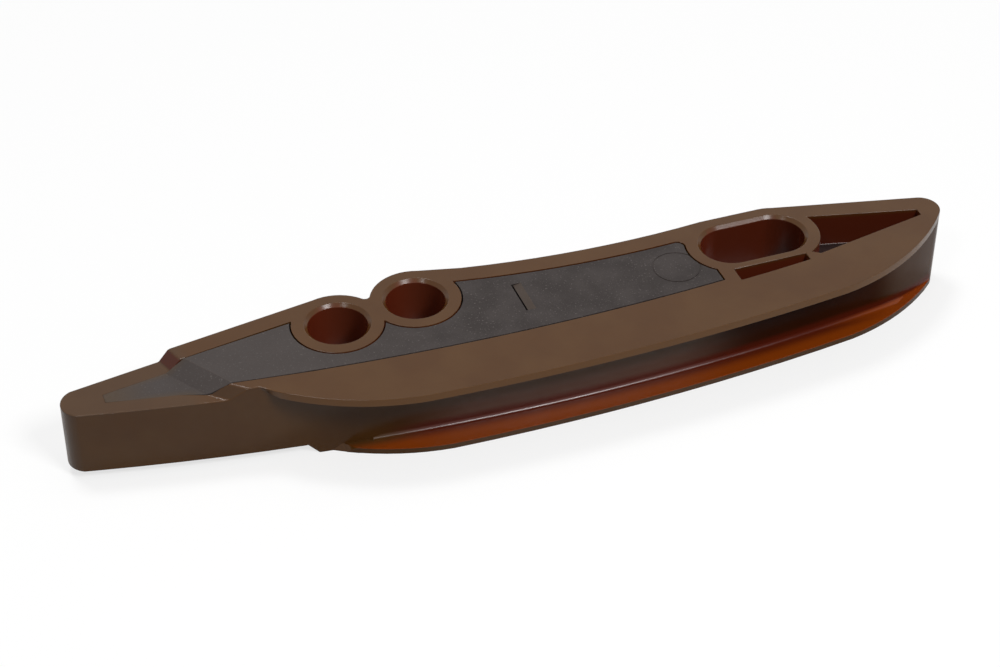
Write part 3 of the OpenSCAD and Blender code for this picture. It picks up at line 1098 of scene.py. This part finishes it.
@dataclass
class CoreInlay(MouldedPiece):
    """The grey shot that lies in the body's pocket.

    Attributes:
        sink: how far its top lies below the body's.
        seam: the gap between its sides and the pocket.
        near: how far a corner may lie from its border.
        fused: how far past the tail's start the shots are fused.
        flush: how far below its top an edge of the top may lie.
        tail: its borders on the tail.
        rail: the rail's sizes.
    """

    node: str = "core_inlay"
    slot: str = "grey_filled_polyamide"
    sink: float = 0.05 * MM
    seam: float = 0.24 * MM
    near: float = 0.05 * MM
    fused: float = 1.0 * MM
    flush: float = 0.01 * MM
    tail: Tail = Tail()
    rail: Rail = Rail()

    def plain(self, mesh: bmesh.types.BMesh) -> None:
        """Close the seam on the tail, where the two shots are fused."""
        rear = Vector((-math.sin(self.tail.slope), math.cos(self.tail.slope)))
        for vert in mesh.verts:
            place = vert.co.xy.copy()
            if place.x > self.tail.start - self.fused:
                continue
            spoke = place - self.rail.face
            if abs(spoke.length - self.rail.face_r + self.tail.lining + self.seam) < self.near:
                vert.co.xy += spoke.normalized() * self.seam
            if abs(place.dot(rear) - self.tail.back + self.seam) < self.near:
                vert.co.xy += rear * self.seam
            if abs(place.x - self.tail.tip - self.seam) < self.near:
                vert.co.x -= self.seam
            if abs(vert.co.z - self.rail.tail_top + self.sink) < self.near:
                vert.co.z += self.sink

    def round(self, mesh: bmesh.types.BMesh) -> None:
        """Round only the plain edges around the top, and leave the mould marks crisp."""
        least = self.rail.height - self.sink - self.flush
        edges = [edge for edge in self.corners(mesh) if edge.is_convex]
        Corner.SEAM.round(mesh, [edge for edge in edges if min(vert.co.z for vert in edge.verts) > least])


def direction(azimuth: float, elevation: float) -> Vector:
    """Point from the object towards a place, with azimuth 0 in front along -Y.

    Args:
        azimuth: degrees to the right of the front.
        elevation: degrees above the floor.

    Returns:
        The unit vector.
    """
    side, rise = math.radians(azimuth), math.radians(elevation)
    return Vector((math.sin(side) * math.cos(rise), -math.cos(side) * math.cos(rise), math.sin(rise)))


@dataclass(frozen=True)
class SoftBox:
    """A square soft light that looks at the object.

    Attributes:
        name: the light's name.
        azimuth: degrees to the right of the front.
        elevation: degrees above the floor.
        power: watts.
        distance: how far it stands from the object's middle.
        size: its side.
    """

    name: str
    azimuth: float
    elevation: float
    power: float
    distance: float = 0.95
    size: float = 0.25

    def build(self, aim: Vector) -> None:
        """Put up the light, turned to a point."""
        lamp = bpy.data.lights.new(self.name, "AREA")
        lamp.energy = self.power
        lamp.size = self.size
        stand = bpy.data.objects.new(self.name, lamp)
        toward = direction(self.azimuth, self.elevation)
        stand.location = aim + toward * self.distance
        stand.rotation_euler = toward.to_track_quat("Z", "Y").to_euler()
        bpy.context.scene.collection.objects.link(stand)


@dataclass(frozen=True)
class PhotoCamera:
    """The camera at the photo's angle.

    Attributes:
        azimuth: degrees to the right of the front.
        elevation: degrees above the floor.
        roll: degrees that the camera leans.
        depth: how far the aimed point lies along the view.
        lens: focal length in millimetres on the sensor.
        sensor: the sensor's width in millimetres.
        right: how far right of the picture's middle the aimed point shows, as a share of its width.
        above: how far above the middle it shows, as a share of the picture's width.
        near: the nearest that it sees.
    """

    azimuth: float = -20.4
    elevation: float = 38.434
    roll: float = -0.189
    depth: float = 385.63 * MM
    lens: float = 84.596
    sensor: float = 36.0
    right: float = -0.162493
    above: float = 0.010396
    near: float = 10.0 * MM

    def build(self, aim: Vector) -> None:
        """Put up the camera so that a point shows at its place in the picture.

        Args:
            aim: the point that is aimed at.
        """
        back = direction(self.azimuth, self.elevation)
        side = UP.cross(back).normalized()
        rise = back.cross(side)
        lean = math.radians(self.roll)
        across = side * math.cos(lean) - rise * math.sin(lean)
        up = side * math.sin(lean) + rise * math.cos(lean)
        scale = self.depth * self.sensor / self.lens
        place = aim - across * (self.right * scale) - up * (self.above * scale) + back * self.depth
        eye = bpy.data.cameras.new("photo_camera")
        eye.lens = self.lens
        eye.sensor_width = self.sensor
        eye.sensor_fit = "HORIZONTAL"
        eye.clip_start = self.near
        stand = bpy.data.objects.new(eye.name, eye)
        turn = Matrix((across, up, back)).transposed()
        stand.matrix_world = Matrix.Translation(place) @ turn.to_4x4()
        bpy.context.scene.collection.objects.link(stand)
        bpy.context.scene.camera = stand


@dataclass(frozen=True)
class Studio:
    """A white table top under three soft boxes and a panel.

    Attributes:
        floor_size: the side of the table top.
        floor_white: its colour.
        clean: the share of plain white that the camera sees in it.
        bounce: the share of light that it throws back on the object.
        mirror: the share of light with which the object mirrors it.
        fill: how strongly the white room lights the object.
        boxes: the soft lights.
        camera: the camera.
    """

    floor_size: float = 8.0
    floor_white: float = 1.0
    clean: float = 0.72
    bounce: float = 0.30
    mirror: float = 0.90
    fill: float = 0.10
    boxes: tuple[SoftBox, ...] = (
        SoftBox("softbox_right", azimuth=23.0, elevation=49.0, power=4.6),
        SoftBox("softbox_left", azimuth=-49.0, elevation=50.0, power=0.8, size=0.12),
        SoftBox("softbox_back", azimuth=-153.0, elevation=73.0, power=2.9, size=0.20),
        SoftBox("panel_above", azimuth=180.0, elevation=84.0, power=1.9, size=0.9),
    )
    camera: PhotoCamera = PhotoCamera()

    def build(self, aim: Vector, middle: Vector) -> None:
        """Set up the floor, the room, the lights and the camera.

        Args:
            aim: the point that the camera shows at its place in the picture.
            middle: the point that the lights look at.
        """
        self.build_floor()
        self.build_room()
        for box in self.boxes:
            box.build(middle)
        self.camera.build(aim)
        bpy.context.scene.view_settings.view_transform = "Standard"

    def seen(self, graph: Graph, kinds: tuple[Ray, ...]) -> Socket:
        """Tell whether a ray is one of some kinds."""
        path = graph.node("LightPath").outputs
        total: Any = 0.0
        for kind in kinds:
            total = graph.sum(Sum.MAXIMUM, path[kind.value], total)
        return total

    def build_floor(self) -> None:
        """Lay the table top, which keeps a faint shadow."""
        mesh = bmesh.new()
        bmesh.ops.create_grid(mesh, x_segments=1, y_segments=1, size=self.floor_size / 2)
        data = bpy.data.meshes.new("floor")
        mesh.to_mesh(data)
        mesh.free()
        material = bpy.data.materials.new("white_table_top")
        material.use_nodes = True
        graph = Graph(material.node_tree)
        seen = self.seen(graph, (Ray.CAMERA, Ray.TRANSMISSION))
        shade = graph.colour(self.seen(graph, (Ray.GLOSSY,)), (self.bounce,) * 3, (self.mirror,) * 3)
        shade = graph.colour(seen, shade, (self.floor_white,) * 3)
        paper = graph.node("BsdfDiffuse", Color=shade).outputs["BSDF"]
        white = graph.node("Emission", Color=WHITE, Strength=1.0).outputs["Emission"]
        mix = graph.node("MixShader", Fac=graph.product(seen, self.clean))
        graph.put(mix.inputs[1], paper)
        graph.put(mix.inputs[2], white)
        graph.node("OutputMaterial", Surface=mix.outputs["Shader"])
        data.materials.append(material)
        floor = bpy.data.objects.new("floor", data)
        bpy.context.scene.collection.objects.link(floor)
        floor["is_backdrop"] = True

    def build_room(self) -> None:
        """Make the white room around the table."""
        world = bpy.data.worlds.new("white_room")
        world.use_nodes = True
        bpy.context.scene.world = world
        graph = Graph(world.node_tree)
        strength = graph.ease(self.seen(graph, tuple(Ray)), Span(0.0, 1.0, self.fill))
        sky = graph.node("Background", Color=WHITE, Strength=strength)
        graph.node("OutputWorld", Surface=sky.outputs["Background"])


def main() -> None:
    """Build the guide on its frame and set up the studio."""
    logging.basicConfig(level=logging.INFO, format="%(name)s: %(message)s")
    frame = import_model()
    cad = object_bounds()
    core = bmesh.new()
    core.from_mesh(frame["nodes"]["core_inlay"].data)
    RailBody(core=BVHTree.FromBMesh(core)).build(frame, BrownPolyamide().build())
    core.free()
    CoreInlay().build(frame, GreyPolyamide().build())
    low, high = (Vector(corner) for corner in cad)
    Studio().build(Vector((0.0, 0.0, high.z)), (low + high) / 2)


if __name__ == "__main__":
    main()
